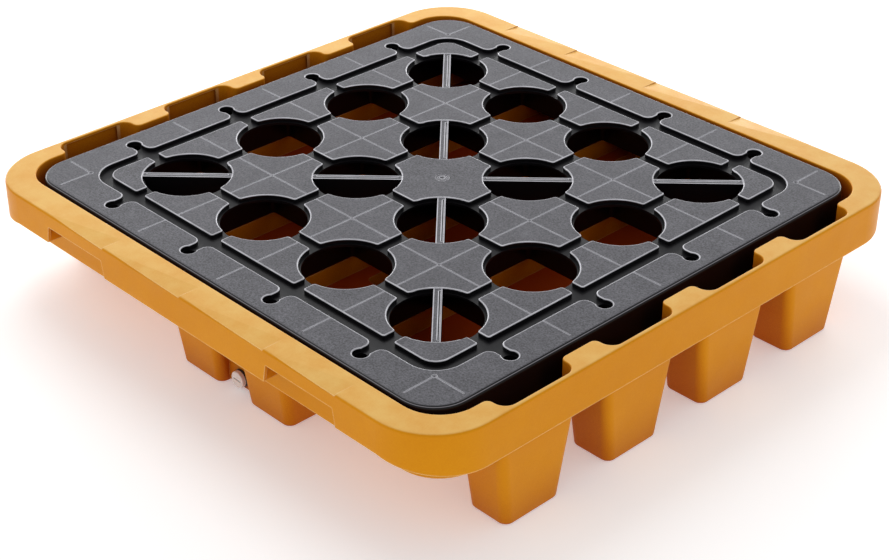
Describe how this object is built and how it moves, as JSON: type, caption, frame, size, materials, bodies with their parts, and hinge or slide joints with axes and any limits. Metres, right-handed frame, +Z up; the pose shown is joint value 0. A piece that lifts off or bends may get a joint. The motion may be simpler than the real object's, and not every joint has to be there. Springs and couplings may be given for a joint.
{
  "type": "spill containment pallet",
  "caption": "Low square sump on hollow feet with a lift-out drum grate, pocketed sides, fork notches and a screwed drain plug.",
  "frame": {"origin": "centre of the pallet's footprint, on the floor under the feet", "axes": "+Z up; -Y the front with the fork notches and the drain plug; X over the two castellated sides"},
  "size_m": [1.3, 1.3, 0.26],
  "materials": {
    "sump_polyethylene": "moulded high-density polyethylene, yellow-orange, satin",
    "grate_polyethylene": "moulded high-density polyethylene, black, fine grain",
    "plug_polypropylene": "moulded polypropylene, off-white",
    "bush_nylon": "moulded nylon, black",
    "gasket_rubber": "nitrile rubber, matt"
  },
  "bodies": {
    "sump_body": {"sump": "sump_polyethylene", "drain_bush": "bush_nylon"},
    "grate_body": {"grate": "grate_polyethylene"},
    "gasket_body": {"drain_gasket": "gasket_rubber"},
    "plug_body": {"drain_plug": "plug_polypropylene"}
  },
  "joints": [
    {"name": "grate_lift", "type": "slide", "parent": "sump_body", "child": "grate_body", "axis": [0, 0, 1], "range_m": [0, 0.25]},
    {"name": "drain_draw", "type": "slide", "parent": "sump_body", "child": "gasket_body", "axis": [0, -1, 0], "range_m": [0, 0.01824]},
    {"name": "drain_unscrew", "type": "hinge", "parent": "gasket_body", "child": "plug_body", "pos_m": [0, -0.53, 0.026], "axis": [0, -1, 0], "range_deg": [0, 3600]}
  ],
  "couplings": [
    {"joint": "drain_draw", "follows": "drain_unscrew", "m_per_rad": 0.00028871}
  ]
}
